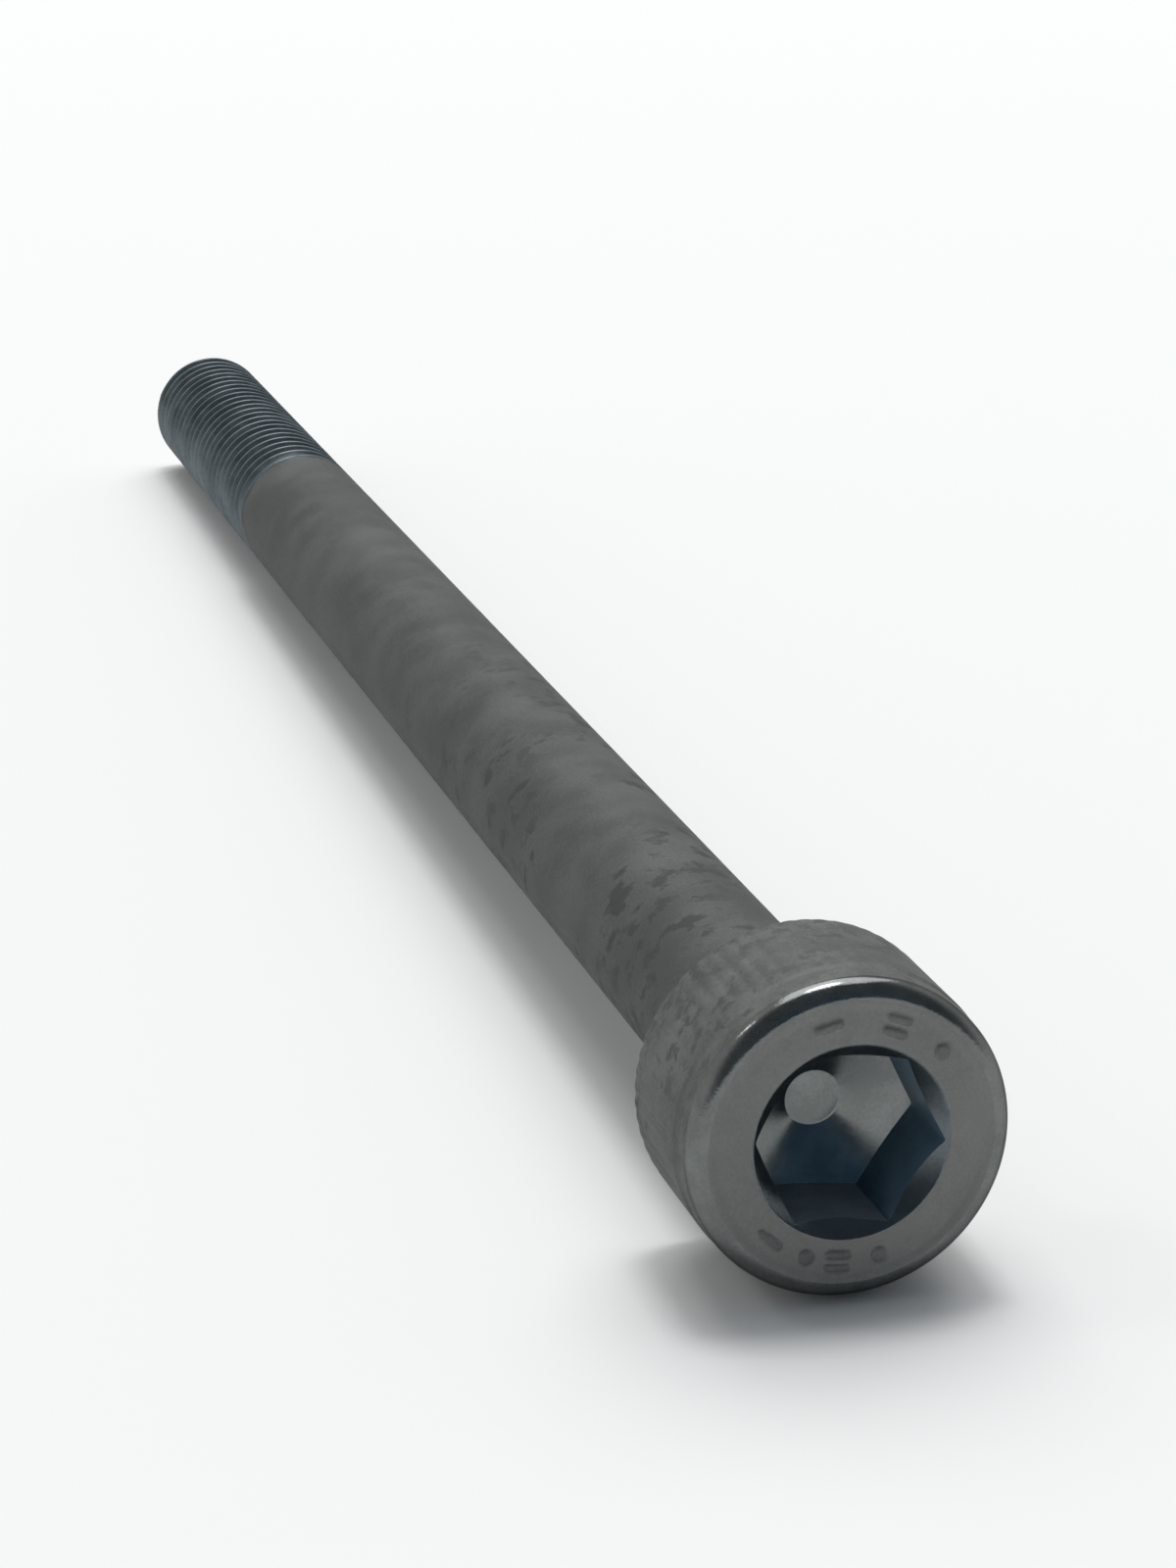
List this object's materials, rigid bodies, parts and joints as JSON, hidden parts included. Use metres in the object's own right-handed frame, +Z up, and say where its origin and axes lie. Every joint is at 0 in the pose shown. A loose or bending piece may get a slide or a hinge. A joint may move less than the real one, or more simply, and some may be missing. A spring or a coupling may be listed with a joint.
{
  "type": "socket head bolt",
  "caption": "Long socket head bolt with a knurled cylindrical head, a hexagon socket, a plain shank and a threaded end, lying on its side.",
  "frame": {"origin": "on the surface that the bolt lies on, under the middle of its length", "axes": "+Z up; +Y from the head towards the tip. The bolt's own axis dips 1.19 degrees below +Y, because the bolt leans on the rear edge of its head and the edge of its tip"},
  "size_m": [0.01, 0.106, 0.0101],
  "materials": {
    "blackened_steel": "matte black oxide, worn to a blotchy dark grey"
  },
  "bodies": {
    "root": {"bolt": "blackened_steel"}
  },
  "joints": []
}
